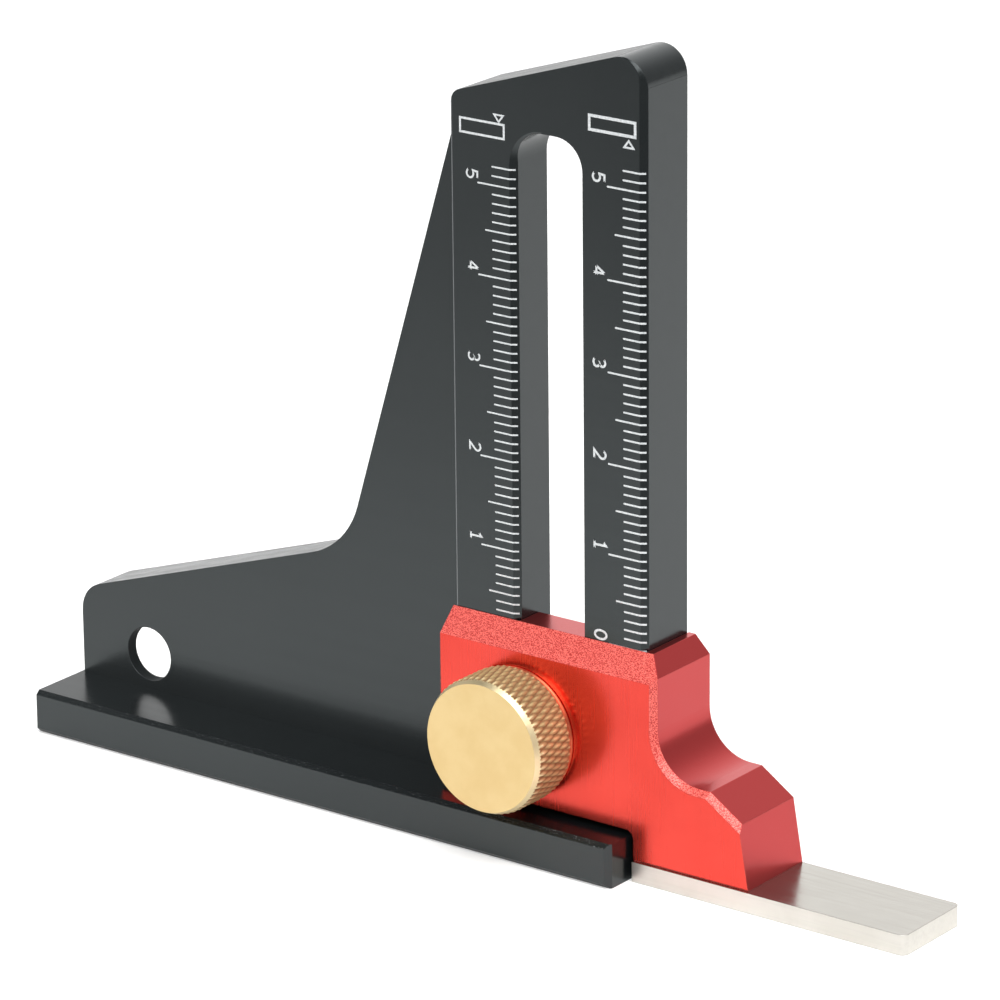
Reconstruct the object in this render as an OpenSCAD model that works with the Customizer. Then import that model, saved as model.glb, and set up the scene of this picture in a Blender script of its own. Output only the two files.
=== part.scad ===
// Marking gauge: L-shaped aluminium body with two engraved legs, sliding
// block with a steel bar, and a knurled clamp knob.
// Millimetres, +Z up. X = 0 is the middle of the column, Y = 0 is the reading
// face of the column, Z = 0 is the underside of the foot. -Y is the front.

/* [Body] */
// Length of the foot, left end to right end
body_length = 80.4; // [76:0.1:86]
// Height of the foot
foot_height = 5; // [4.5:0.05:5.2]
// How far the foot stands in front of the reading face
foot_reach = 6.3; // [5:0.1:9]
// Small bevel on the front edges of the foot
foot_bevel = 0.5; // [0.3:0.05:0.8]
// Bevel on the foot's upright front corner at the right end
foot_corner = 0.65; // [0.4:0.05:0.9]
// Width of the column that carries the two scales
column_width = 25; // [24.6:0.1:26]
// Thickness of the column, reading face to back
column_depth = 7.4; // [7.3:0.1:8]
// Height of the column's top edge above the foot's underside, at mid slot
column_height = 86; // [85:0.25:90]
// Slope of the column's top edge, degrees
top_slope = 17.65; // [14:0.05:20]
// How far the plate lies behind the reading face
plate_step = 1.8; // [1:0.1:2.4]
// Height of the plate's top edge at its left end
plate_end_height = 15.2; // [14:0.1:18]
// Slope of the plate's top edge, degrees
plate_slope = 18.05; // [16:0.05:20]
// Radius of the plate's upper left corner
plate_corner = 3.7; // [2:0.1:5]
// Radius of the hollow between the plate's top edge and its steep edge
plate_hollow = 10; // [8:0.5:12]

/* [Slot] */
// Width of the long slot
slot_width = 8.65; // [8.2:0.05:8.8]
// Distance of the slot's middle right of the column's middle
slot_shift = 0.15; // [0:0.05:0.2]
// Corner radius of the slot's two ends
slot_corner = 3.4; // [3:0.1:4]
// Height of the slot's top end
slot_top = 79.15; // [78.8:0.05:79.6]
// Height of the slot's bottom end
slot_bottom = 7; // [6.6:0.1:7.4]
// Depth of the slot that the tongue and stud pass through
slot_wall = 5.55; // [5.2:0.05:5.6]
// Width of the channel behind the slot
channel_width = 14; // [13:0.5:15]
// Width of the slim bevel on each reading edge
edge_bevel = 0.75; // [0.5:0.05:1]

/* [Hanging hole] */
// Radius of the hanging hole
hole_radius = 3.15; // [2.5:0.05:3.5]
// Distance of the hanging hole from the left end
hole_inset = 10.05; // [9.8:0.05:12]
// Height of the hanging hole
hole_height = 9.15; // [9:0.05:10]
// Length of straight wall in the hanging hole
hole_wall = 1.4; // [1:0.1:1.6]

/* [Slider] */
// Height of the slider's top edge with the slider fully down
slider_top = 25; // [24.8:0.05:25.2]
// Thickness of the slider's front wall
slider_wall = 2.5; // [2.3:0.1:3]
// Size of the long bevel along the top front edge
top_bevel = 2.45; // [1.8:0.05:2.45]
// Clearance between slider and body
running_gap = 0.05; // [0.03:0.01:0.08]
// How far the slider's block reaches right of the column, at the bottom
block_reach = 14.8; // [14:0.05:16]
// Radius of the hollow in the block's right side
block_hollow = 5.3; // [5:0.1:5.6]
// Bevel along the front edge of the block's right side
block_bevel = 0.65; // [0.4:0.05:0.8]

/* [Bar] */
// Thickness of the steel bar
bar_thickness = 2.25; // [2:0.05:2.4]
// Length of the steel bar
bar_length = 34.5; // [32:0.1:40]
// How far the bar stands in front of the slider
bar_lip = 0.35; // [0.1:0.05:0.6]
// Corner radius at the bar's free end
bar_corner = 0.8; // [0.4:0.1:2]

/* [Knob] */
// Knob diameter over the knurl
knob_diameter = 15.2; // [13:0.1:15.5]
// Knob length
knob_length = 6.8; // [5:0.1:8]
// Bevel at the knob's front edge
knob_bevel = 0.45; // [0.3:0.05:0.8]
// Length of the smooth band at the knob's rear
knob_band = 0.9; // [0.6:0.1:1.2]
// Distance of the knob's axis left of the column's middle
knob_offset = 2.35; // [2.2:0.05:2.4]
// Height of the knob's axis with the slider fully down
knob_height = 13.75; // [13.5:0.05:14.2]
// Radius of the threaded stud
stud_radius = 1.5; // [1.4:0.05:1.5]

/* [Clamp plate] */
// Thickness of the clamp plate
clamp_thickness = 1.25; // [1:0.05:1.25]
// Height of the clamp plate
clamp_height = 12; // [10:0.5:12]

/* [Screws] */
// Shank radius of the bar's screws
screw_radius = 1.25; // [1:0.05:1.25]
// Length of the bar's screws
screw_length = 7; // [6:0.5:8]
// Distance between the two screws
screw_pitch = 7; // [6.5:0.1:7]

/* [Hidden] */
$fn = 96;

cut = 1;         // how far cutters run past the faces they cut
overlap = 0.02;  // small overlap of neighbouring cutters and faces
part_gap = 0.05; // clearance between parts fixed against each other

// distance from a corner to where its rounding starts, for a given turn in degrees
function tangent(radius, turn) = radius * tan(turn / 2);

// column and foot
column_right = column_width / 2;
body_left = column_right - body_length;
foot_right = column_right - 0.45;
foot_front = -foot_reach;
column_rise = column_right * tan(top_slope);
top_right = [column_right, column_height + column_rise];
top_left = [-column_right, column_height - column_rise];
top_dir = [cos(top_slope), sin(top_slope)];
right_radius = 3;
left_radius = 1.5;
right_tangent = tangent(right_radius, 90 + top_slope);
left_tangent = tangent(left_radius, 90 - top_slope);
corner_inset = 0.01; // keeps corner circles just inside their tangent edges

// plate: its steep edge meets the column's left side just under the column's corner
plate_left = body_left + 0.25;
plate_dir = [cos(plate_slope), sin(plate_slope)];
plate_tangent = tangent(plate_corner, 90 - plate_slope);
steep_lean = 17.07; // degrees from upright
steep_dir = [sin(steep_lean), cos(steep_lean)];
steep_top = top_left[1] - 0.7;
// where the sloping edge and the steep edge would meet without the hollow
meet_z = (plate_end_height
          + (-column_right - steep_top * tan(steep_lean) - plate_left) * tan(plate_slope))
         / (1 - tan(steep_lean) * tan(plate_slope));
meet = [-column_right - (steep_top - meet_z) * tan(steep_lean), meet_z];
hollow_tangent = tangent(plate_hollow, 90 - steep_lean - plate_slope);
hollow_start = meet - hollow_tangent * plate_dir;
hollow_centre = hollow_start + plate_hollow * [-plate_dir[1], plate_dir[0]];

// slot
slot_left = slot_shift - slot_width / 2;
slot_right = slot_shift + slot_width / 2;
slot_arc_top = slot_top - slot_corner;
slot_arc_bottom = slot_bottom + slot_corner;

// slider
slider_front = -(slider_wall + running_gap);
slider_back = column_depth + 0.2;
slider_left = -column_right - 0.4;
block_left = column_right + running_gap;

// bar and its screws
bar_left = block_left + part_gap;
bar_right = bar_left + bar_length;
bar_front = slider_front - bar_lip;
bar_back = slider_back + 0.05;
screw_x = column_right + 3.9; // left screw
screw_y = 2.5;
screw_sink = 0.1; // screw heads lie this far above the bar's underside

// knob and stud
knob_x = -knob_offset;
knob_back = slider_front - part_gap;
stud_hold = 4; // length of stud inside the knob

// ---------------------------------------------------------------- helpers
// extrudes an outline drawn in X and Z from y0 to y1
module slab(y0, y1) {
  translate([0, y1, 0]) rotate([90, 0, 0]) linear_extrude(height = y1 - y0) children();
}
// extrudes an outline drawn in Y and Z along +X
module along_x(length) {
  rotate([90, 0, 90]) linear_extrude(height = length) children();
}
// cylinder or cone along +Y from y0 to y1
module rod(x, z, y0, y1, r, r2 = -1) {
  translate([x, y0, z]) rotate([-90, 0, 0])
    cylinder(h = y1 - y0, r1 = r, r2 = r2 < 0 ? r : r2);
}
// rod on the axis of knob and stud
module knob_rod(y0, y1, r, r2 = -1) {
  rod(knob_x, knob_height, y0, y1, r, r2);
}
module rounded_rectangle(left, bottom, width, height, radius) {
  translate([left, bottom + radius]) square([width, height - 2 * radius]);
  translate([left + radius, bottom]) square([width - 2 * radius, height]);
  for (x = [left + radius, left + width - radius])
    for (z = [bottom + radius, bottom + height - radius])
      translate([x, z]) circle(r = radius);
}
// cutter for a 45 degree bevel on an upright right front edge at x, y
module upright_bevel(x, y, z0, z1, size) {
  translate([0, 0, z0]) linear_extrude(height = z1 - z0)
    polygon([[x - size - cut, y - cut], [x + cut, y - cut], [x + cut, y + size + cut]]);
}
// cutter for a 45 degree bevel on the slider's front edge at Z = 0, along +X
module front_bevel(size, length) {
  along_x(length)
    polygon([[slider_front - cut, -size - cut], [slider_front + size + cut, cut],
             [slider_front - cut, cut]]);
}
module at_screws() {
  for (k = [0, 1]) translate([screw_x + k * screw_pitch, screw_y, 0]) children();
}

// ---------------------------------------------------------------- body
module column_outline() {
  right_arc = top_right - [right_radius, right_tangent];
  left_arc = top_left + [left_radius, -left_tangent];
  polygon([[-column_right, 0], [column_right, 0],
           [column_right, right_arc[1]],
           right_arc,
           top_right - right_tangent * top_dir,
           top_left + left_tangent * top_dir,
           left_arc,
           [-column_right, left_arc[1]]]);
  translate(right_arc) circle(r = right_radius - corner_inset);
  translate(left_arc) circle(r = left_radius - corner_inset);
}
module plate_outline() {
  corner = [plate_left, plate_end_height];
  arc = corner + [plate_corner, -plate_tangent];
  difference() {
    polygon([[plate_left, 0], [0, 0], [0, steep_top], [-column_right, steep_top],
             meet + hollow_tangent * steep_dir,
             hollow_start,
             corner + plate_tangent * plate_dir,
             arc,
             [plate_left, arc[1]]]);
    translate(hollow_centre) circle(r = plate_hollow);
  }
  translate(arc) circle(r = plate_corner - corner_inset);
}
// foot with bevelled front edges and right front corner
module foot() {
  difference() {
    translate([body_left, 0, 0]) along_x(foot_right - body_left)
      polygon([[column_depth, 0], [foot_front + foot_bevel, 0],
               [foot_front, foot_bevel], [foot_front, foot_height - foot_bevel],
               [foot_front + foot_bevel, foot_height], [column_depth, foot_height]]);
    upright_bevel(foot_right, foot_front, -cut, foot_height + cut, foot_corner);
  }
}
module slot_outline() {
  rounded_rectangle(slot_left, slot_bottom, slot_width, slot_top - slot_bottom, slot_corner);
}
// channel with a half-round top and small bottom corners
module channel_outline() {
  half = channel_width / 2;
  arc_z = slot_top + 0.9 - half;
  bottom = slot_bottom - 0.5;
  corner = 1.5;
  translate([slot_shift, 0]) {
    translate([0, arc_z]) circle(r = half);
    translate([-half, bottom + corner])
      square([channel_width, arc_z - bottom - corner]);
    translate([-half + corner, bottom])
      square([channel_width - 2 * corner, 2 * corner]);
    for (side = [-1, 1])
      translate([side * (half - corner), bottom + corner]) circle(r = corner);
  }
}

bevel_depth = 0.5;             // depth of the reading edges' bevels
bevel_shift = 0.8 * edge_bevel; // shift of the cones that fade the bevels out

// cutter for the bevel left of an upright edge at x
module edge_wedge(x, z0, z1) {
  translate([0, 0, z0]) linear_extrude(height = z1 - z0)
    polygon([[x - 2 * edge_bevel, -bevel_depth], [x + edge_bevel, -bevel_depth],
             [x + edge_bevel, 2 * bevel_depth]]);
}
// cone of the given radius at Y = 0, widening (1) or narrowing (-1) to the back
module edge_cone(x, z, radius, widening) {
  rod(x, z, -1.2 * bevel_depth, 2.2 * bevel_depth,
      radius - widening * 1.2 * edge_bevel, radius + widening * 2.2 * edge_bevel);
}
// bevel of the right reading edge, fading out round the upper right corner
module right_bevel() {
  x = column_right - right_radius;
  z = top_right[1] - right_tangent + bevel_shift;
  edge_wedge(column_right, foot_height, z);
  difference() {
    translate([x, -bevel_depth, z - overlap])
      cube([right_radius + edge_bevel, 3 * bevel_depth, right_radius + cut]);
    edge_cone(x, z, right_radius - edge_bevel, 1);
  }
}
// bevel of the left reading edge, fading out round the slot's upper left corner
module left_bevel() {
  x = slot_left + slot_corner;
  z = slot_arc_top - bevel_shift;
  edge_wedge(slot_left, slot_arc_bottom, z);
  intersection() {
    translate([slot_left - 2 * edge_bevel, -bevel_depth, z - overlap])
      cube([slot_corner + 2 * edge_bevel, 3 * bevel_depth, slot_corner + 2]);
    edge_cone(x, z, slot_corner + edge_bevel, -1);
  }
}
// hanging hole, straight at the front and opened wide from behind
module hanging_hole() {
  x = body_left + hole_inset;
  wall_end = plate_step + hole_wall;
  cone_end = column_depth + overlap;
  rod(x, hole_height, plate_step - cut, column_depth + cut, hole_radius);
  rod(x, hole_height, wall_end, cone_end, hole_radius, hole_radius + cone_end - wall_end);
}
module gauge_body() {
  color([0.07, 0.07, 0.075])
  difference() {
    union() {
      slab(0, column_depth) column_outline();
      slab(plate_step, column_depth) plate_outline();
      foot();
    }
    slab(-cut, column_depth + cut) slot_outline();
    slab(slot_wall, column_depth + cut) channel_outline();
    right_bevel();
    left_bevel();
    hanging_hole();
  }
}

// ---------------------------------------------------------------- slider
// right side of the block, from the top down: side, hollow, knee, shoulder, foot
side_x = column_right + 2.8;
knee_z = 12.05;
arc_x = side_x + block_hollow;
arc_z = knee_z + block_hollow;
knee_x = arc_x + 1.45;
block_right = column_right + block_reach;
shoulder_x = block_right - 1.2;
shoulder_z = 9.35;

// outline of the block to the right of the column
module block_outline() {
  difference() {
    polygon([[block_left, bar_thickness], [block_right, bar_thickness],
             [shoulder_x, shoulder_z], [knee_x, knee_z],
             [arc_x, knee_z], [arc_x, arc_z], [side_x, arc_z],
             [side_x, slider_top - 1.85], [column_right + 0.95, slider_top],
             [block_left, slider_top]]);
    translate([arc_x, arc_z]) circle(r = block_hollow);
  }
}
// outline of the front wall over the column, with a rounded notch at its lower right
module wall_outline() {
  bottom = foot_height + 0.6;
  notch = 1;
  overlap_right = block_left + 0.5;
  difference() {
    polygon([[slider_left, bottom], [block_left - notch, bottom],
             [block_left, bottom - notch], [overlap_right, bottom - notch],
             [overlap_right, slider_top], [slider_left, slider_top]]);
    translate([block_left - notch, bottom - notch]) circle(r = notch);
  }
}
// tongue in the slot: full width above the stud, half width beside it
module tongue() {
  step_z = 17.8;
  root = 0.5; // length inside the front wall
  depth = 3.5 + root;
  half_left = 0.2;
  half_bottom = slot_arc_bottom + 0.2;
  y = -running_gap - root;
  translate([slot_left + running_gap, y, step_z])
    cube([slot_width - 2 * running_gap, depth, slider_top - step_z]);
  translate([half_left, y, half_bottom])
    cube([slot_right - running_gap - half_left, depth, step_z - half_bottom]);
}
// bevel of the block's right front edge: upright part, hollow, flat and slope
module side_bevel() {
  run_on = 0.5; // how far each part runs into the next
  margin = 2;
  slope = atan2(knee_z - shoulder_z, shoulder_x - knee_x);
  upright_bevel(side_x, slider_front, arc_z, arc_z + 20, block_bevel);
  intersection() {
    rod(arc_x, arc_z, slider_front - run_on, slider_front + block_bevel + run_on,
        block_hollow + block_bevel + run_on, block_hollow - run_on);
    translate([side_x - margin, slider_front - cut, knee_z - margin])
      cube([block_hollow + margin, 4, block_hollow + margin]);
  }
  translate([arc_x, 0, knee_z]) front_bevel(block_bevel, knee_x - arc_x + run_on);
  translate([knee_x, 0, knee_z]) rotate([0, slope, 0]) translate([-run_on, 0, 0])
    front_bevel(block_bevel, 8);
}
// fine bevel on the lower front edge, along the bar
module under_bevel() {
  size = 0.15;
  translate([block_left - cut, 0, bar_thickness]) along_x(20)
    polygon([[slider_front - cut, -cut], [slider_front + size + cut, -cut],
             [slider_front - cut, size + cut]]);
}
module slider_block() {
  stud_play = 0.1;
  stud_hole_end = 2;
  screw_end_room = 0.8;
  color([0.80, 0.08, 0.06])
  difference() {
    union() {
      slab(slider_front, slider_back) block_outline();
      slab(slider_front, -running_gap) wall_outline();
      tongue();
    }
    // long bevel along the top front edge
    translate([slider_left - cut, 0, slider_top]) front_bevel(top_bevel, 40);
    side_bevel();
    under_bevel();
    knob_rod(slider_front - cut, stud_hole_end, stud_radius + stud_play);
    at_screws() translate([0, 0, bar_thickness - cut])
      cylinder(h = screw_length + screw_end_room - bar_thickness + cut, r = screw_radius);
  }
}

// ---------------------------------------------------------------- bar
// bar with a rounded free end and two countersunk screw holes
module gauge_bar() {
  r = bar_corner;
  depth = bar_back - bar_front;
  color([0.75, 0.74, 0.71])
  difference() {
    linear_extrude(height = bar_thickness) union() {
      translate([bar_left, bar_front]) square([bar_length - r, depth]);
      translate([bar_right - 2 * r, bar_front + r]) square([2 * r, depth - 2 * r]);
      for (y = [bar_front + r, bar_back - r]) translate([bar_right - r, y]) circle(r = r);
    }
    at_screws() {
      translate([0, 0, -cut]) cylinder(h = bar_thickness + 2 * cut, r = screw_radius + 0.1);
      translate([0, 0, -0.1])
        cylinder(h = 1.42, r1 = 2 * screw_radius + 0.24, r2 = screw_radius + 0.07);
    }
  }
}

// ---------------------------------------------------------------- screws
// countersunk screws, heads down, with hexagon sockets
module bar_screws() {
  socket_radius = 0.87;
  socket_top = 1;
  socket_cut = 0.5;
  color([0.55, 0.55, 0.57])
  at_screws() difference() {
    translate([0, 0, screw_sink]) union() {
      cylinder(h = screw_radius, r1 = 2 * screw_radius, r2 = screw_radius);
      cylinder(h = screw_length - screw_sink, r = screw_radius);
    }
    translate([0, 0, -socket_cut])
      cylinder(h = socket_top + socket_cut, r = socket_radius, $fn = 6);
  }
}

// ---------------------------------------------------------------- knob
module lock_knob() {
  front = knob_back - knob_length;
  radius = knob_diameter / 2;
  band_radius = radius - 0.2;
  rear_bevel = 0.15;
  color([0.78, 0.60, 0.28])
  difference() {
    union() {
      knob_rod(front, front + knob_bevel, radius - knob_bevel, radius);
      knob_rod(front + knob_bevel, knob_back - knob_band, radius);
      knob_rod(knob_back - knob_band, knob_back - rear_bevel, band_radius);
      knob_rod(knob_back - rear_bevel, knob_back, band_radius, band_radius - rear_bevel);
    }
    knob_rod(knob_back - stud_hold, knob_back + cut, stud_radius);
  }
}

// ---------------------------------------------------------------- stud
// stud with a bevelled rear end, just inside the column's back
module knob_stud() {
  back = column_depth - 0.2;
  bevel = 0.3;
  color([0.62, 0.62, 0.64])
  union() {
    knob_rod(knob_back - stud_hold, back - bevel, stud_radius);
    knob_rod(back - bevel, back, stud_radius, stud_radius - bevel);
  }
}

// ---------------------------------------------------------------- clamp plate
// rounded plate in the channel, with a hole for the stud
module clamp_plate() {
  front = slot_wall + part_gap;
  back = front + clamp_thickness;
  width = channel_width - 0.2;
  corner = 1.6;
  stud_play = 0.06;
  color([0.55, 0.55, 0.57])
  difference() {
    slab(front, back)
      rounded_rectangle(slot_shift - width / 2, knob_height - clamp_height / 2,
                        width, clamp_height, corner);
    knob_rod(front - cut, back + cut, stud_radius + stud_play);
  }
}

// ---------------------------------------------------------------- output
gauge_body();
slider_block();
gauge_bar();
lock_knob();
knob_stud();
clamp_plate();
bar_screws();
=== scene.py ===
# A measuring gauge: black body, red slider block, steel bar and knurled brass knob.
# It stands on its foot at Z = 0. The marked face looks to -Y, +X is to its right and the
# scales climb along +Z. Meshes are sized in mm; shaders and studio are in metres.
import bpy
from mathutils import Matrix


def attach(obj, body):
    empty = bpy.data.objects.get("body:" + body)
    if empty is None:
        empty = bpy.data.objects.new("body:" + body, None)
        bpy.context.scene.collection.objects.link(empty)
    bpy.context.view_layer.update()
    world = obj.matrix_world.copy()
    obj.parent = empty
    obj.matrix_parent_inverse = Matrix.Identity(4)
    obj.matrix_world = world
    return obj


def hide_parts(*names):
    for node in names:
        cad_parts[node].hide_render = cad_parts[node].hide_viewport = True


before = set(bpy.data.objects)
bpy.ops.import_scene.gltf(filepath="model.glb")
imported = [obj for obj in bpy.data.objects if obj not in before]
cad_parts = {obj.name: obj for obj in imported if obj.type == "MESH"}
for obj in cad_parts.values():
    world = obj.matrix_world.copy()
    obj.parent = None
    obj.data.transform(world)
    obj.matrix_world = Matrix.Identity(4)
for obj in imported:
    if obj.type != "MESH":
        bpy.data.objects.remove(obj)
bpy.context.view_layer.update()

import math
from functools import cached_property

import bmesh
import bpy
import numpy as np
from mathutils import Matrix, Vector

MM = 0.001
SCENE = bpy.context.scene

# ------------------------------------------------------------------ sizes, mm
BEND_RIGHT = 11.75           # X where the right reading bevel starts
BEND_LEFT = -4.925           # X where the left reading bevel starts
BEVEL_WIDTH = 0.75           # both reading bevels, along X
BEVEL_DEPTH = 0.5            # and along Y
ZERO_RIGHT = 24.90           # Z of the right scale's zero
ZERO_LEFT = 22.65            # the left one is lower by the bar's thickness
DIGIT_STEP = 10              # from one numeral to the next

KNOB_X, KNOB_Z = -2.35, 13.75
KNOB_BACK = -2.6             # Y of the back face
KNOB_LENGTH = 6.8
KNOB_RADIUS = 7.6
KNOB_FRONT = KNOB_BACK - KNOB_LENGTH


# ------------------------------------------------------------------ mesh helpers
def new_object(name, verts, faces, materials, unit=MM):
    mesh = bpy.data.meshes.new(name)
    mesh.from_pydata([tuple(c * unit for c in v) for v in verts], [], faces)
    mesh.validate(verbose=False)
    for material in materials:
        mesh.materials.append(material)
    mesh.update()
    ob = bpy.data.objects.new(name, mesh)
    SCENE.collection.objects.link(ob)
    return ob


def unit_vector(v):
    return v / np.hypot(*v)


class Pile:
    """Vertices and faces of several closed bits gathered into one mesh."""

    def __init__(self):
        self.verts, self.faces = [], []

    def add(self, verts, faces):
        first = len(self.verts)
        self.verts += [tuple(v) for v in verts]
        self.faces += [tuple(i + first for i in f) for f in faces]

    def ribbon(self, points, width, y0, y1, closed=False):
        """A flat stroke of even width along (x, z) points, mitred, from y0 (front) to y1."""
        points = [np.array(p, float) for p in points]
        count = len(points)
        steps = [unit_vector(points[(i + 1) % count] - points[i])
                 for i in range(count if closed else count - 1)]
        before = steps[-1:] + steps[:-1] if closed else steps[:1] + steps
        after = steps if closed else steps + steps[-1:]
        left, right = [], []
        for point, step_in, step_out in zip(points, before, after):
            normal_in = np.array([-step_in[1], step_in[0]])
            normal_out = np.array([-step_out[1], step_out[0]])
            mitre = unit_vector(normal_in + normal_out)
            # the lower limit keeps sharp corners from shooting out
            reach = width / 2 / max(float(np.dot(mitre, normal_in)), 0.35)
            left.append(point + mitre * reach)
            right.append(point - mitre * reach)
        if closed:
            self.add_loop(left, right, y0, y1)
        else:
            ends = [self.end_arc(points[-1], points[-2], width / 2),
                    self.end_arc(points[0], points[1], width / 2)]
            self.add_strip(left, right, ends, y0, y1)

    @staticmethod
    def end_arc(tip, neighbour, radius, count=5):
        """Half circle about the tip, its side turned back into the stroke."""
        outward = unit_vector(tip - neighbour)
        start = math.atan2(outward[0], -outward[1])
        return [tip + radius * np.array([math.cos(start + t), math.sin(start + t)])
                for t in np.linspace(0, math.pi, count + 2)[1:-1]]

    def add_loop(self, left, right, y0, y1):
        n = len(left)
        verts = [(p[0], y, p[1]) for side in (left, right) for y in (y0, y1) for p in side]
        left_front, left_back, right_front, right_back = 0, n, 2 * n, 3 * n
        faces = []
        for i in range(n):
            j = (i + 1) % n
            faces += [
                (left_front + i, right_front + i, right_front + j, left_front + j),
                (left_back + j, right_back + j, right_back + i, left_back + i),
                (left_front + j, left_back + j, left_back + i, left_front + i),
                (right_front + i, right_back + i, right_back + j, right_front + j)]
        self.add(verts, faces)

    def add_strip(self, left, right, ends, y0, y1):
        """Quads instead of one large polygon, so bent strokes stay clean."""
        last_arc, first_arc = ends
        outline = right + last_arc + left[::-1] + first_arc
        n, rows = len(outline), len(right)
        arc_count = len(first_arc)
        left_at = [n - 1 - arc_count - i for i in range(rows)]     # left point beside right i
        faces = []
        for i in range(rows - 1):
            faces.append((i, i + 1, left_at[i + 1], left_at[i]))
            faces.append((n + left_at[i], n + left_at[i + 1], n + i + 1, n + i))
        for cap in ([rows - 1, *range(rows, rows + arc_count), left_at[-1]],
                    [left_at[0], *range(n - arc_count, n), 0]):
            faces.append(tuple(cap))
            faces.append(tuple(n + i for i in reversed(cap)))
        faces += [(i + n, (i + 1) % n + n, (i + 1) % n, i) for i in range(n)]
        self.add([(p[0], y, p[1]) for y in (y0, y1) for p in outline], faces)


# ------------------------------------------------------------------ shader helpers
class Graph:
    """Builds the nodes of one tree. Values are node outputs, numbers or tuples."""

    def __init__(self, tree, coords):
        self.tree = tree
        self.coords = self.node("TexCoord").outputs[coords]

    def feed(self, value, socket):
        if isinstance(value, (int, float)):
            socket.default_value = value
        elif isinstance(value, tuple):
            add_alpha = len(value) == 3 and len(socket.default_value) == 4
            socket.default_value = value + ((1.0,) if add_alpha else ())
        else:
            self.tree.links.new(value, socket)

    def node(self, kind, inputs=None, **settings):
        node = self.tree.nodes.new("ShaderNode" + kind)
        for name, value in settings.items():
            setattr(node, name, value)
        for key, value in (inputs or {}).items():
            self.feed(value, node.inputs[key])
        return node

    def math(self, operation, *operands):
        return self.node("Math", dict(enumerate(operands)), operation=operation).outputs[0]

    def chain(self, operation, first, rest):
        for value in rest:
            first = self.math(operation, first, value)
        return first

    def plus(self, first, *rest):
        return self.chain("ADD", first, rest)

    def minus(self, first, *rest):
        return self.chain("SUBTRACT", first, rest)

    def times(self, first, *rest):
        return self.chain("MULTIPLY", first, rest)

    def above(self, value, limit):
        return self.math("GREATER_THAN", value, limit)

    def below(self, value, limit):
        return self.math("LESS_THAN", value, limit)

    def near(self, value, at, half):
        """1 where value is within half of at."""
        return self.below(self.math("ABSOLUTE", self.minus(value, at)), half)

    def length(self, a, b):
        return self.math("SQRT", self.plus(self.times(a, a), self.times(b, b)))

    def dot(self, a, b):
        return self.node("VectorMath", {0: a, 1: b}, operation="DOT_PRODUCT").outputs["Value"]

    def ramp(self, value, lo, hi, at_lo=0.0, at_hi=1.0):
        """Smooth step from at_lo, where value is lo, to at_hi, where it is hi."""
        return self.node("MapRange", {"Value": value, "From Min": lo, "From Max": hi,
                                      "To Min": at_lo, "To Max": at_hi},
                         interpolation_type="SMOOTHSTEP").outputs["Result"]

    def camera_ray(self):
        return self.node("LightPath").outputs["Is Camera Ray"]


class Material(Graph):
    """A material with one Principled surface."""

    def __init__(self, name):
        self.material = bpy.data.materials.new(name)
        self.material.use_nodes = True
        tree = self.material.node_tree
        tree.nodes.clear()
        super().__init__(tree, "Object")
        self.shader = self.node("BsdfPrincipled")
        self.node("OutputMaterial", {0: self.shader.outputs[0]})

    def finish(self, **inputs):
        """Feed the surface (an underscore stands for a space) and return the material."""
        for name, value in inputs.items():
            self.feed(value, self.shader.inputs[name.replace("_", " ")])
        return self.material

    @cached_property
    def geometry(self):
        return self.node("NewGeometry").outputs

    def noise(self, scale, detail=3, roughness=0.6, stretch=None, vector=None):
        if stretch:
            vector = self.node("Mapping", {"Scale": stretch, "Vector": self.coords}).outputs[0]
        return self.node("TexNoise", {"Scale": scale, "Detail": detail, "Roughness": roughness,
                                      "Vector": vector or self.coords}).outputs["Fac"]

    def attribute(self, name):
        return self.node("Attribute", attribute_name=name).outputs["Fac"]

    def mix(self, factor, under, over):
        return self.node("Mix", {0: factor, 6: under, 7: over}, data_type="RGBA").outputs[2]

    def mottle(self, noise, dark, light, lo=0.3, hi=0.7):
        return self.mix(self.ramp(noise, lo, hi), dark, light)

    def mix_vectors(self, factor, under, over):
        return self.node("Mix", {0: factor, 4: under, 5: over}, data_type="VECTOR").outputs[1]

    def xyz(self, vector):
        return self.node("SeparateXYZ", {0: vector}).outputs

    def bump(self, height, strength, distance, normal=None):
        inputs = {"Strength": strength, "Distance": distance, "Height": height}
        if normal:
            inputs["Normal"] = normal
        return self.node("Bump", inputs).outputs[0]

    def round_edges(self, radius):
        return self.node("Bevel", {"Radius": radius}, samples=6).outputs[0]

    def edge(self, radius):
        """1 near the solid's sharp edges, 0 elsewhere."""
        agreement = self.dot(self.round_edges(radius), self.geometry["Normal"])
        return self.ramp(self.minus(1.0, agreement), lo=0.02, hi=0.25)


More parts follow.
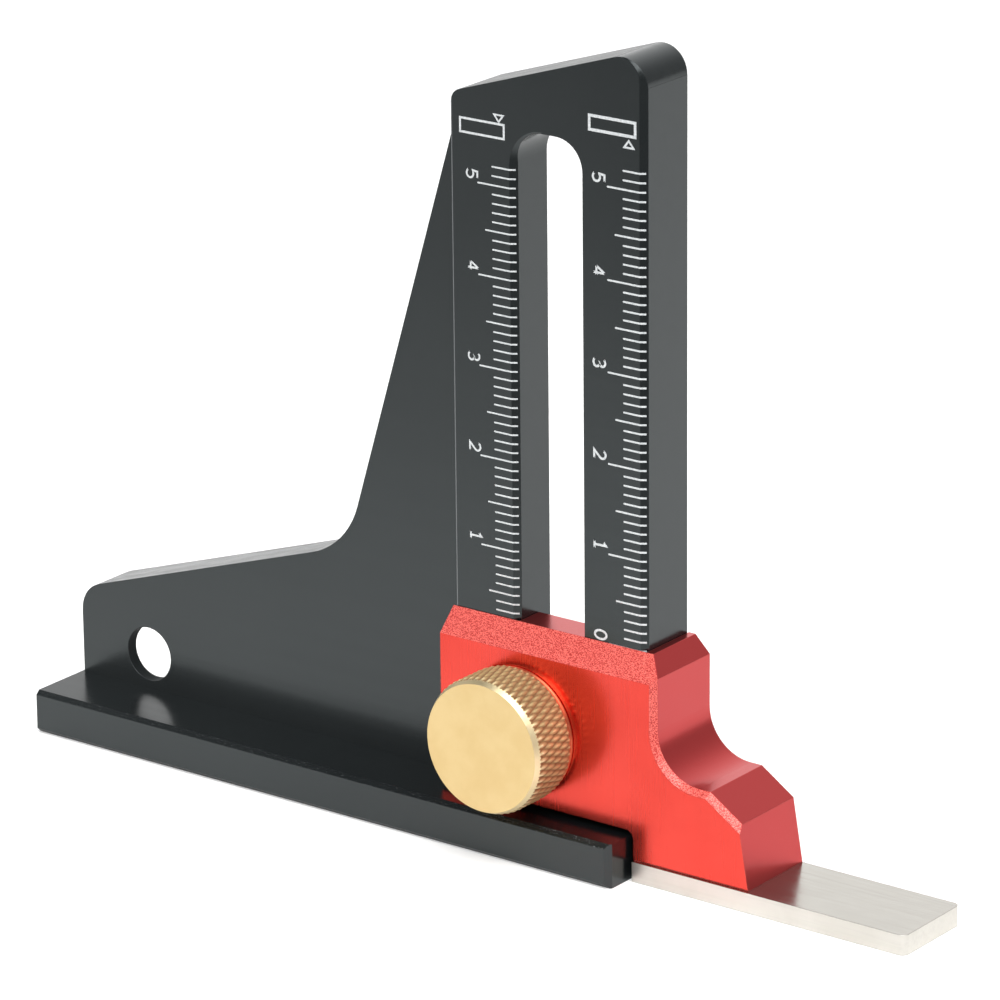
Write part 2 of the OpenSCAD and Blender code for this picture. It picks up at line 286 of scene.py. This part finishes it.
# ------------------------------------------------------------------ materials
def black_anodised():
    m = Material("black_anodised")
    x, y, z = m.xyz(m.coords)
    normal_x, normal_y, normal_z = m.xyz(m.geometry["True Normal"])
    # the foot's bevelled edges
    bevel = m.times(m.near(normal_y, at=-0.7071, half=0.03), m.near(normal_x, at=0.0, half=0.1))
    grain = m.noise(scale=9000, roughness=0.65)
    streak = m.noise(scale=700, stretch=(0.02, 1, 1))        # fine lines along the length
    base = m.mottle(m.noise(scale=60, detail=4),
                    dark=(0.0030, 0.0042, 0.0048), light=(0.0046, 0.0060, 0.0066))
    # painted glints: light specks on the foot's bevel, stronger towards its right end
    painted_glint = m.times(m.ramp(m.noise(scale=5200, detail=2), lo=0.60, hi=0.70), bevel,
                    m.ramp(x, lo=-0.02, hi=0.012, at_lo=0.25, at_hi=1.0))
    # painted highlight: the sharp edges are lighter in patches, but not in the inner corners
    # above the foot and beside the column
    above_foot = m.times(m.near(z, at=0.0050, half=0.0003), m.above(y, -0.005))
    beside_column = m.times(m.near(x, at=-0.0125, half=0.0003), m.above(y, 0.0013))
    inner = m.math("MAXIMUM", above_foot, beside_column)
    edge_highlight = m.times(m.times(m.edge(0.00012), m.minus(1.0, inner)),
                   m.ramp(m.noise(scale=900, detail=4), lo=0.42, hi=0.62))
    base = m.mix(m.times(edge_highlight, 0.22), base, over=(0.26, 0.27, 0.28))
    base = m.mix(m.times(painted_glint, 0.55), base, over=(0.30, 0.31, 0.32))
    # a painted highlight: a fine light line along the column's left front edge
    line = m.times(m.near(x, at=-0.0125, half=0.00012), m.near(y, at=0.0, half=0.00012))
    base = m.mix(m.times(line, 0.45), base, over=(0.30, 0.31, 0.32))
    # walls of the hanging hole, centred at X -57.85 mm and Z 9.15 mm, are duller
    from_hole = m.length(m.plus(x, 0.05785), m.minus(z, 0.00915))
    bore = m.times(m.below(from_hole, 0.0076), m.above(y, 0.00185), m.above(normal_y, -0.9))
    roughness = m.plus(m.ramp(streak, lo=0.3, hi=0.7, at_lo=0.17, at_hi=0.23),
                       m.times(bevel, 0.04), m.times(grain, 0.05), m.times(bore, 0.40))
    # the foot's upper side and its bevel reflect less than the faces that stand upright
    top = m.times(m.above(normal_z, 0.9), m.below(z, 0.0055))
    specular = m.minus(0.5, m.times(bore, 0.35), m.times(top, 0.25), m.times(bevel, 0.22))
    height = m.plus(m.times(grain, 0.6), m.times(streak, 0.4))
    normal = m.mix_vectors(inner, m.round_edges(0.00010), m.geometry["Normal"])
    return m.finish(
        Base_Color=base, Roughness=roughness, Metallic=0.0, IOR=1.60,
        Specular_IOR_Level=specular, Specular_Tint=(0.90, 0.99, 1.0),
        Normal=m.bump(height, strength=0.10, distance=0.00004, normal=normal))


def red_anodised():
    m = Material("red_anodised")
    normal_y = m.xyz(m.geometry["True Normal"])[1]
    bevel = m.near(normal_y, at=-0.7071, half=0.05)
    shaded_side = m.ramp(normal_y, lo=-0.60, hi=-0.40)             # faces that do not look forward
    grain = m.noise(scale=7800, detail=2, roughness=0.75)
    fine = m.noise(scale=14000, detail=2)
    lines = m.noise(scale=2600, detail=2, stretch=(1, 1, 0.03))      # faint, upright
    base = m.mottle(m.noise(scale=90, detail=4, roughness=0.55),
                    dark=(0.685, 0.047, 0.031), light=(0.76, 0.059, 0.040))
    # painted shade: the faces that do not look forward get a darker red
    base = m.mix(m.ramp(shaded_side, lo=0.0, hi=1.0), base, over=(0.50, 0.038, 0.038))
    speckled = m.mottle(grain, dark=(0.46, 0.014, 0.012), light=(0.95, 0.185, 0.150),
                        lo=0.42, hi=0.58)
    base = m.mix(bevel, base, speckled)
    # painted highlight: paler pink along the sharp edges, in patches
    patches = m.ramp(m.noise(scale=700, detail=4), lo=0.4, hi=0.65, at_lo=0.05, at_hi=0.45)
    base = m.mix(m.times(m.edge(0.00014), patches), base, over=(0.95, 0.33, 0.25))
    roughness = m.plus(m.ramp(lines, lo=0.3, hi=0.7, at_lo=0.24, at_hi=0.28),
                       m.times(bevel, 0.24), m.times(shaded_side, 0.05))
    # the grain stands out far more on the bevels
    height = m.plus(m.times(grain, m.plus(0.10, m.times(bevel, 2.2))),
                    m.plus(m.times(fine, 0.12), m.times(lines, 0.03)))
    return m.finish(
        Base_Color=base, Roughness=roughness,
        Metallic=m.minus(0.94, m.times(bevel, 0.56)),
        Normal=m.bump(height, strength=0.35, distance=0.00005, normal=m.round_edges(0.00014)),
        Coat_Weight=0.34, Coat_Roughness=0.15)


def bar_steel():
    m = Material("bar_steel")
    brush = m.noise(scale=2600, roughness=0.65, stretch=(0.03, 1, 1))
    cross = m.noise(scale=2600, roughness=0.65, stretch=(1, 0.04, 1))
    base = m.mottle(m.noise(scale=120, detail=4),
                    dark=(0.62, 0.595, 0.545), light=(0.68, 0.655, 0.605))
    base = m.mix(m.times(m.ramp(brush, lo=0.45, hi=0.75), 0.25), base, over=(0.52, 0.50, 0.47))
    # painted shade: faces that look up get a darker base, and they are smoother
    upward = m.above(m.xyz(m.geometry["True Normal"])[2], 0.8)
    base = m.mix(m.times(upward, 0.52), base, over=(0.30, 0.286, 0.258))
    roughness = m.minus(m.ramp(brush, lo=0.3, hi=0.7, at_lo=0.30, at_hi=0.38),
                        m.times(upward, 0.12))
    height = m.plus(brush, m.times(cross, 0.3))
    return m.finish(
        Base_Color=base, Roughness=roughness, Metallic=1.0,
        Normal=m.bump(height, strength=0.12, distance=0.00003, normal=m.round_edges(0.00012)))


def fixing_steel():
    m = Material("fixing_steel")
    brush = m.noise(scale=3000, stretch=(1, 1, 0.05))
    return m.finish(
        Base_Color=m.mottle(m.noise(scale=900, detail=4),
                            dark=(0.42, 0.42, 0.43), light=(0.48, 0.48, 0.49)),
        Roughness=m.ramp(brush, lo=0.3, hi=0.7, at_lo=0.28, at_hi=0.42), Metallic=1.0,
        Normal=m.bump(brush, strength=0.15, distance=0.00004, normal=m.round_edges(0.00015)))


def brass_knurl():
    """Brass coloured by the knob's own attributes, which knob_rows explains."""
    m = Material("brass_knurl")
    depth, cut, cone = m.attribute("depth"), m.attribute("cut"), m.attribute("cone")
    base = m.mottle(m.noise(scale=220, detail=4),
                    dark=(0.60, 0.42, 0.195), light=(0.68, 0.49, 0.24))
    # painted shade: the brass darkens to brown deeper in the knurl's valleys
    base = m.mix(m.ramp(depth, lo=0.22, hi=0.82, at_lo=0.0, at_hi=0.92), base,
                 over=(0.22, 0.085, 0.025))
    base = m.mix(m.times(cut, 0.35), base, over=(0.52, 0.40, 0.21))
    # painted highlight: the front bevel, the tips beside it and the rear rim are painted pale
    base = m.mix(cone, base, over=(0.90, 0.745, 0.455))
    roughness = m.plus(m.ramp(m.noise(scale=3000), lo=0.3, hi=0.7, at_lo=0.24, at_hi=0.34),
                       m.times(cut, 0.26), m.times(cone, 0.14))
    return m.finish(Base_Color=base, Roughness=roughness,
                    Metallic=m.minus(1.0, m.times(cut, 0.35)),
                    Normal=m.bump(m.noise(scale=7000), strength=0.12, distance=0.00003))


def brass_turned():
    """Brass with fine rings about the knob's axis, as a lathe leaves on a faced end."""
    m = Material("brass_turned")
    ring_pitch = 0.00016
    x, _, z = m.xyz(m.coords)
    radius = m.length(m.minus(x, KNOB_X * MM), m.minus(z, KNOB_Z * MM))
    rings = m.math("SINE", m.times(radius, 2 * math.pi / ring_pitch))
    ring_noise = m.noise(scale=6000, roughness=0.7,
                         vector=m.node("CombineXYZ", {0: radius}).outputs[0])
    return m.finish(
        Base_Color=m.mottle(m.noise(scale=220, detail=4),
                            dark=(0.697, 0.510, 0.241), light=(0.738, 0.556, 0.276)),
        Roughness=m.ramp(ring_noise, lo=0.3, hi=0.7, at_lo=0.30, at_hi=0.38), Metallic=1.0,
        Normal=m.bump(m.plus(m.times(rings, 0.25), ring_noise),
                      strength=0.10, distance=0.00003))


def mark_white():
    m = Material("mark_white")
    speck = m.noise(scale=4200, roughness=0.7)
    return m.finish(
        Base_Color=m.mottle(speck, dark=(0.52, 0.55, 0.565), light=(0.72, 0.74, 0.745),
                            lo=0.35, hi=0.65),
        Roughness=0.62, Normal=m.bump(speck, strength=0.25, distance=0.00002))


def paper_floor():
    m = Material("studio_floor")
    x, y, _ = m.xyz(m.coords)
    base = m.mottle(m.noise(scale=35, roughness=0.5),
                    dark=(0.905, 0.905, 0.902), light=(0.915, 0.915, 0.912))
    # painted shade: the floor darkens to the front left and front right, where less light falls;
    # only the reflections see it
    front_left = m.plus(m.times(x, -0.604), m.times(y, -0.797))
    front_right = m.plus(m.times(x, 0.66), m.times(y, -0.75))
    camera_ray = m.camera_ray()
    reflected = m.minus(1.0, camera_ray)
    base = m.mix(m.times(m.ramp(front_left, lo=0.02, hi=0.26), reflected), base,
                 over=(0.50, 0.50, 0.50))
    base = m.mix(m.times(m.ramp(front_right, lo=0.045, hi=0.13), reflected), base,
                 over=(0.16, 0.16, 0.16))
    # far from the tool the floor runs into a white backdrop without a horizon line
    far = m.times(m.ramp(m.length(x, y), lo=0.20, hi=0.60), camera_ray)
    glow = m.plus(0.16, m.times(far, 0.84))
    return m.finish(Base_Color=m.mix(far, base, over=(0.0, 0.0, 0.0)), Roughness=0.75,
                    Emission_Color=(1, 1, 1, 1), Emission_Strength=m.times(camera_ray, glow),
                    Specular_IOR_Level=0.15)


BLACK, RED, BAR, FIXING = black_anodised(), red_anodised(), bar_steel(), fixing_steel()
KNURL, TURNED, WHITE = brass_knurl(), brass_turned(), mark_white()

# ------------------------------------------------------------------ CAD nodes
for name, material in (("gauge_body", BLACK), ("slider_block", RED), ("gauge_bar", BAR),
                       ("knob_stud", FIXING), ("clamp_plate", FIXING), ("bar_screws", FIXING)):
    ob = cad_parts[name]
    ob.data.materials.clear()
    ob.data.materials.append(material)

# ------------------------------------------------------------------ knurled knob, mm
DIAMONDS = 58                # round the knob
DIAMOND_LENGTH = 2.45        # along the axis
KNURL_DEPTH = 0.27
AROUND = DIAMONDS * 8        # vertices in each ring
FRONT_BEVEL = 0.46           # drop in radius at the front edge
BEVEL_SLOPE = 0.48           # rise in radius per mm to the back
KNURL_END = KNOB_LENGTH - 0.8        # from the front
FACE_RADIUS = KNOB_RADIUS - FRONT_BEVEL - 0.04
FACE_RINGS = [FACE_RADIUS, 6.2, 5.2, 4.0, 2.6, 1.2]
FACE_DISH = 0.015
HOLE_END = KNOB_BACK - 4.0   # Y of the stud hole's blind end
# smooth rear rim: distance from the front, radius
REAR_RIM = [
    (KNURL_END + 0.05, KNOB_RADIUS - 0.62), (KNURL_END + 0.50, KNOB_RADIUS - 0.45),
    (KNOB_LENGTH - 0.14, KNOB_RADIUS - 0.42), (KNOB_LENGTH - 0.05, KNOB_RADIUS - 0.46),
    (KNOB_LENGTH, KNOB_RADIUS - 0.56)]
# radius, Y
STUD_HOLE = [(1.75, KNOB_BACK), (1.5, KNOB_BACK - 0.2), (1.5, HOLE_END)]


def triangle_wave(turns):
    return 1 - np.abs(2 * (turns - np.floor(turns)) - 1)


def knob_rows(angles):
    """Rings of the knob's side, front to back: distance from the front, radii, and the
    attributes depth (below the diamond tips, darkening the valleys as painted shade), cut
    (knurled) and cone (a pale painted highlight on the bevel, the tips beside it and the rear
    rim)."""
    diamonds = DIAMONDS * angles / (2 * math.pi)
    rows = []
    for along in np.concatenate([np.linspace(0, 1.0, 18)[:-1],
                                 np.arange(1.0, KNURL_END - 0.02, 0.1), [KNURL_END]]):
        one_way = triangle_wave(diamonds + along / DIAMOND_LENGTH)
        other_way = triangle_wave(diamonds - along / DIAMOND_LENGTH)
        height = np.minimum(
            (0.45 * np.minimum(one_way, other_way) + 0.275 * (one_way + other_way)) / 0.86, 1.0)
        fade = np.clip((KNURL_END - along) / 0.25, 0, 1)     # runs out before the rear rim
        knurl = KNOB_RADIUS - 0.22 * (1 - fade) - KNURL_DEPTH * (1 - height) * fade
        bevel = KNOB_RADIUS - FRONT_BEVEL + along * BEVEL_SLOPE
        is_cut = knurl < bevel - 1e-6
        # painted highlight: the tips next to the bevel are painted nearly as pale as the bevel
        # itself
        tip = np.clip((height - 0.45) / 0.5, 0, 1) * np.clip((1.45 - along) / 0.5, 0, 1) * 0.9
        rows.append((along, np.minimum(knurl, bevel), np.where(is_cut, (1 - height) * fade, 0.0),
                     np.where(is_cut, fade, 0.0), np.where(is_cut, tip, 1.0)))
    plain = np.zeros(AROUND)
    # the rear rim gets a weaker painted highlight
    for along, radius in REAR_RIM:
        rows.append((along, np.full(AROUND, radius), plain, plain, np.full(AROUND, 0.35)))
    return rows


def build_knob():
    angles = np.arange(AROUND) * (2 * math.pi / AROUND)
    rows = knob_rows(angles)
    verts, faces, slots, smooths = [], [], [], []

    def add_ring(radii, y):
        verts.extend((KNOB_X + r * math.cos(a), y, KNOB_Z + r * math.sin(a))
                     for a, r in zip(angles, radii))
        return len(verts) - AROUND

    def add_faces(new_faces, slot, smooth):
        faces.extend(new_faces)
        slots.extend([slot] * AROUND)
        smooths.extend([smooth] * AROUND)

    def join(ring, next_ring, slot, smooth):
        add_faces([(ring + j, ring + k, next_ring + k, next_ring + j) for j, k in around],
                  slot, smooth)

    around = [(j, (j + 1) % AROUND) for j in range(AROUND)]
    rings = [add_ring(row[1], KNOB_FRONT + row[0]) for row in rows]
    for row, ring, next_ring in zip(rows, rings, rings[1:]):
        join(ring, next_ring, slot=0, smooth=bool(row[0] >= KNURL_END))

    # faced front: rings inwards, very slightly dished
    outer = rings[0]
    for radius in FACE_RINGS:
        dish = FACE_DISH * (1 - (radius / FACE_RADIUS) ** 2)
        ring = add_ring([radius] * AROUND, KNOB_FRONT + dish)
        join(ring, outer, slot=1, smooth=True)
        outer = ring
    centre = len(verts)
    verts.append((KNOB_X, KNOB_FRONT + FACE_DISH, KNOB_Z))
    add_faces([(centre, outer + k, outer + j) for j, k in around], slot=1, smooth=True)

    # back face with the stud's blind hole
    outer = rings[-1]
    for radius, y in STUD_HOLE:
        ring = add_ring([radius] * AROUND, y)
        join(outer, ring, slot=0, smooth=False)
        outer = ring
    centre = len(verts)
    verts.append((KNOB_X, HOLE_END, KNOB_Z))
    add_faces([(centre, outer + j, outer + k) for j, k in around], slot=0, smooth=False)

    ob = new_object("knurled_knob", verts, faces, [KNURL, TURNED])
    ob.data.polygons.foreach_set("material_index", slots)
    ob.data.polygons.foreach_set("use_smooth", smooths)
    ob.data.update()
    rest = [0.0] * (len(verts) - len(rows) * AROUND)         # front and back faces
    for column, name in enumerate(("depth", "cut", "cone"), start=2):
        values = np.concatenate([row[column] for row in rows]).tolist() + rest
        ob.data.attributes.new(name, "FLOAT", "POINT").data.foreach_set("value", values)
    return ob


knob = build_knob()
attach(knob, "knob")
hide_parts("lock_knob")

# ------------------------------------------------------------------ scale marks, mm
TICK_COUNT = 53
TICK_OUT, TICK_IN = 0.018, 0.02      # above and below the surface
MARK_FRONT, MARK_BACK = -0.019, 0.02         # Y of numerals and window frames
STROKE_STEP = 0.0007         # each further stroke of a numeral is this much thicker per side


def draw_ticks(pile, zero, bend, lengths, width):
    """Millimetre lines: flat on the face from the left, then down over the reading bevel.
    lengths: every tenth line, every fifth, the others."""
    run = 0.55               # reach over the bevel, along X
    over = np.array([bend + run, run * (BEVEL_DEPTH / BEVEL_WIDTH)])
    normal = unit_vector(np.array([BEVEL_DEPTH, -BEVEL_WIDTH]))      # outward, x and y
    out, into = over + normal * TICK_OUT, over - normal * TICK_IN
    w = width / 2
    for t in range(TICK_COUNT):
        z = zero + t
        start = bend - (lengths[0] if t % 10 == 0 else lengths[1] if t % 5 == 0 else lengths[2])
        # outline on the face, counter-clockwise from the front, round at its left end
        ring = [(start + w, -w), (bend, -w), (bend, w), (start + w, w)]
        ring += [(start + w - w * math.sin(a), w * math.cos(a))
                 for a in np.linspace(0, math.pi, 7)[1:-1]]
        n = len(ring)
        verts = [(x, y, z + dz) for y in (-TICK_OUT, TICK_IN) for x, dz in ring]
        verts += [(p[0], p[1], z + dz) for p in (out, into) for dz in (-w, w)]
        tail = 2 * n         # the bevel part joins at ring points 1 and 2
        faces = [tuple(range(n)), tuple(range(2 * n - 1, n - 1, -1))]
        faces += [(i + n, (i + 1) % n + n, (i + 1) % n, i) for i in range(n) if i != 1]
        faces += [(1, tail, tail + 1, 2), (n + 2, tail + 3, tail + 2, n + 1),
                  (1, n + 1, tail + 2, tail), (2, tail + 1, tail + 3, n + 2),
                  (tail, tail + 2, tail + 3, tail + 1)]
        pile.add(verts, faces)


def arc(cx, cy, rx, ry, start, end, count):
    return [(cx + rx * math.cos(math.radians(a)), cy + ry * math.sin(math.radians(a)))
            for a in np.linspace(start, end, count)]


# Numerals as strokes of (across, up) points in a cell 1.0 high; only the 0 is a closed stroke
GLYPH_WIDTH = 0.64
GLYPHS = {
    0: [arc(0.32, 0.5, 0.27, 0.44, 90, 450, 29)[:-1]],
    1: [[(0.10, 0.74), (0.32, 0.93), (0.32, 0.06)], [(0.08, 0.06), (0.56, 0.06)]],
    2: [arc(0.31, 0.68, 0.24, 0.25, 165, -35, 14) + [(0.07, 0.07), (0.60, 0.07)]],
    3: [arc(0.28, 0.71, 0.23, 0.22, 150, -80, 13) + arc(0.28, 0.28, 0.26, 0.23, 78, -150, 14)],
    4: [[(0.05, 0.30), (0.60, 0.30)], [(0.44, 0.93), (0.44, 0.06)],
        [(0.05, 0.30), (0.245, 0.615), (0.44, 0.93)]],
    5: [[(0.55, 0.92), (0.14, 0.92), (0.10, 0.55)] + arc(0.29, 0.33, 0.27, 0.27, 118, -150, 15)],
}


def draw_numerals(pile, zero, bottom, height, width, digits, stroke):
    """Each numeral lies on its side: its top points to +X and its left side points up."""
    for digit in digits:
        left = zero + DIGIT_STEP * digit + 1.38
        for k, points in enumerate(GLYPHS[digit]):
            placed = [(bottom + up * height, left - across * width / GLYPH_WIDTH)
                      for across, up in points]
            pile.ribbon(placed, stroke, MARK_FRONT - STROKE_STEP * k,
                        MARK_BACK + STROKE_STEP * k, closed=digit == 0)


def draw_window(pile, x0, x1, z0, z1, stroke, pointer, pointer_stroke):
    """A rectangular frame and a small triangle beside it."""
    pile.ribbon([(x0, z0), (x1, z0), (x1, z1), (x0, z1)], stroke, MARK_FRONT, MARK_BACK,
                closed=True)
    pile.ribbon(pointer, pointer_stroke, -0.018, MARK_BACK, closed=True)


def add_marks(name, draw, **sizes):
    pile = Pile()
    draw(pile, **sizes)
    ob = new_object(name, pile.verts, pile.faces, [WHITE])
    bm = bmesh.new()
    bm.from_mesh(ob.data)
    bmesh.ops.recalc_face_normals(bm, faces=bm.faces)
    bm.to_mesh(ob.data)
    bm.free()
    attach(ob, "base")


add_marks("scale_left", draw_ticks, zero=ZERO_LEFT, bend=BEND_LEFT,
          lengths=(4.19, 3.24, 2.32), width=0.175)
add_marks("scale_right", draw_ticks, zero=ZERO_RIGHT, bend=BEND_RIGHT,
          lengths=(4.14, 3.17, 2.15), width=0.20)
add_marks("numerals_left", draw_numerals, zero=ZERO_LEFT, bottom=-10.6, height=1.62,
          width=1.12, digits=(1, 2, 3, 4, 5), stroke=0.21)
add_marks("numerals_right", draw_numerals, zero=ZERO_RIGHT, bottom=5.72, height=1.72,
          width=1.15, digits=(0, 1, 2, 3, 4, 5), stroke=0.25)
add_marks("window_left", draw_window, x0=-11.3, x1=-5.6, z0=77.85, z1=79.35, stroke=0.24,
          pointer=[(-6.85, 80.33), (-6.25, 79.58), (-5.68, 80.33)], pointer_stroke=0.19)
add_marks("window_right", draw_window, x0=5.4, x1=11.2, z0=80.65, z1=82.15, stroke=0.32,
          pointer=[(9.82, 79.42), (11.0, 79.42), (10.40, 80.15)], pointer_stroke=0.21)


# ------------------------------------------------------------------ floor, m
def build_floor(size=8.0, cells=12, z=-0.00003):
    row = cells + 1
    verts = [((i / cells - 0.5) * size, (j / cells - 0.5) * size, z)
             for j in range(row) for i in range(row)]
    faces = [(j * row + i, j * row + i + 1, (j + 1) * row + i + 1, (j + 1) * row + i)
             for j in range(cells) for i in range(cells)]
    return new_object("studio_floor", verts, faces, [paper_floor()], unit=1.0)


build_floor()


# ------------------------------------------------------------------ world
def build_world():
    """Reflections see a bright backdrop behind the tool and a dim ceiling to the upper left;
    the camera sees plain white."""
    world = bpy.data.worlds.new("studio")
    SCENE.world = world
    world.use_nodes = True
    g = Graph(world.node_tree, "Generated")

    def towards(direction, **ramp):
        return g.ramp(g.dot(g.coords, tuple(Vector(direction).normalized())), **ramp)

    level = g.plus(0.42, towards((-0.45, 0.88, 0.10), lo=0.45, hi=0.95, at_lo=0.0, at_hi=0.95))
    level = g.times(level, towards((-0.60, -0.30, 0.75), lo=0.70, hi=0.97,
                                   at_lo=1.0, at_hi=0.30))
    camera_ray = g.camera_ray()
    seen_level = 1.0
    level = g.plus(g.times(level, g.minus(1.0, camera_ray)), g.times(seen_level, camera_ray))
    background = world.node_tree.nodes["Background"]
    g.feed((1.0, 1.0, 1.0, 1.0), background.inputs[0])
    g.feed(level, background.inputs[1])


build_world()


# ------------------------------------------------------------------ lights and camera, m
def softbox(name, at, width, height, power):
    """A rectangular light aimed at the tool."""
    light = bpy.data.lights.new(name, "AREA")
    light.shape = "RECTANGLE"
    light.size, light.size_y = width, height
    light.energy = power
    ob = bpy.data.objects.new(name, light)
    ob.location = at
    ob.rotation_mode = "QUATERNION"
    aim = Vector((0, 0, 0.04))
    ob.rotation_quaternion = (aim - Vector(at)).to_track_quat("-Z", "Y")
    SCENE.collection.objects.link(ob)


softbox("top_box", at=(0.34, -0.16, 1.25), width=1.25, height=0.95, power=13)
softbox("key_box", at=(0.46, -0.66, 0.76), width=1.15, height=0.85, power=9.5)
softbox("left_box", at=(-1.00, -0.75, 0.55), width=1.0, height=0.8, power=4.5)


def build_camera():
    data = bpy.data.cameras.new("photo_view")
    data.sensor_width = 36.0
    data.lens = 36.0 * 5.8636        # focal length as a multiple of the sensor width
    data.shift_x, data.shift_y = 0.0005, -0.0044
    data.clip_start, data.clip_end = 0.01, 50
    camera = bpy.data.objects.new("photo_view", data)
    right = (0.79849883, 0.60191836, -0.00969064)
    up = (-0.18611657, 0.26214524, 0.94691103)
    back = (0.57250349, -0.75430375, 0.32134965)
    place = Vector((0.3493163, -0.4689923, 0.2383834))
    turn = Matrix((right, up, back)).transposed().to_4x4()
    camera.matrix_world = Matrix.Translation(place) @ turn
    SCENE.collection.objects.link(camera)
    SCENE.camera = camera


build_camera()
SCENE.view_settings.view_transform = "Standard"
SCENE.view_settings.look = "None"
SCENE.view_settings.exposure = 0.0

bpy.context.view_layer.update()
